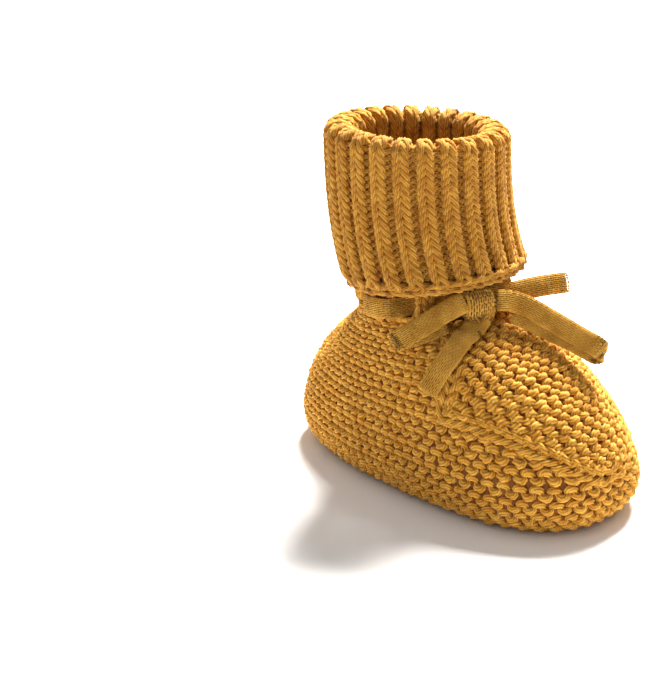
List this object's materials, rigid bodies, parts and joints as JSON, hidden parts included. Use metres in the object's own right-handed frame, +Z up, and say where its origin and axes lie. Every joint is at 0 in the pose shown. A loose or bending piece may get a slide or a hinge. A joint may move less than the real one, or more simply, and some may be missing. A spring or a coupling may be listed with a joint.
{
  "type": "baby bootie",
  "caption": "Knitted cotton baby bootie with garter-stitch foot, ribbed turned-down cuff and a flat knitted tie in a bow at the ankle.",
  "frame": {"origin": "bottom centre of the sole, on the ground", "axes": "+Z up, toe toward -Y, heel toward +Y, +X is the wearer's left"},
  "size_m": [0.056, 0.105, 0.0933],
  "materials": {
    "cotton_knit": "matte plied cotton yarn, hand-knit texture",
    "tie_tape": "matte fine-knit cotton tube, pressed flat"
  },
  "bodies": {
    "bootie": {"sole": "cotton_knit", "toe_wall": "cotton_knit", "side_wall_left": "cotton_knit", "side_wall_right": "cotton_knit", "heel_wall": "cotton_knit", "vamp": "cotton_knit", "vamp_join_left": "cotton_knit", "vamp_join_right": "cotton_knit", "ankle_band": "cotton_knit", "cuff_inner": "cotton_knit", "cuff_rim": "cotton_knit", "cuff_turndown": "cotton_knit", "cast_off_edge": "cotton_knit", "tie_ankle_run": "tie_tape", "tie_knot": "tie_tape"},
    "loop_left": {"tie_loop_left": "tie_tape"},
    "loop_right": {"tie_loop_right": "tie_tape"},
    "tail_left": {"tie_tail_left": "tie_tape"},
    "tail_right": {"tie_tail_right": "tie_tape"}
  },
  "joints": [
    {"name": "loop_left_lift", "type": "hinge", "parent": "bootie", "child": "loop_left", "pos_m": [-0.0026, -0.014, 0.052], "axis": [-0.4789, 0, -0.8779], "range_deg": [0, 45]},
    {"name": "loop_right_lift", "type": "hinge", "parent": "bootie", "child": "loop_right", "pos_m": [-0.0103, -0.01, 0.0526], "axis": [0.075, 0.7061, 0.7041], "range_deg": [0, 45]},
    {"name": "tail_left_drop", "type": "hinge", "parent": "bootie", "child": "tail_left", "pos_m": [-0.0028, -0.0113, 0.0522], "axis": [0.4392, 0.8984, 0], "range_deg": [0, 12]},
    {"name": "tail_right_lift", "type": "hinge", "parent": "bootie", "child": "tail_right", "pos_m": [-0.009, -0.0124, 0.0462], "axis": [-0.4489, 0.7481, 0.4888], "range_deg": [0, 45]}
  ]
}
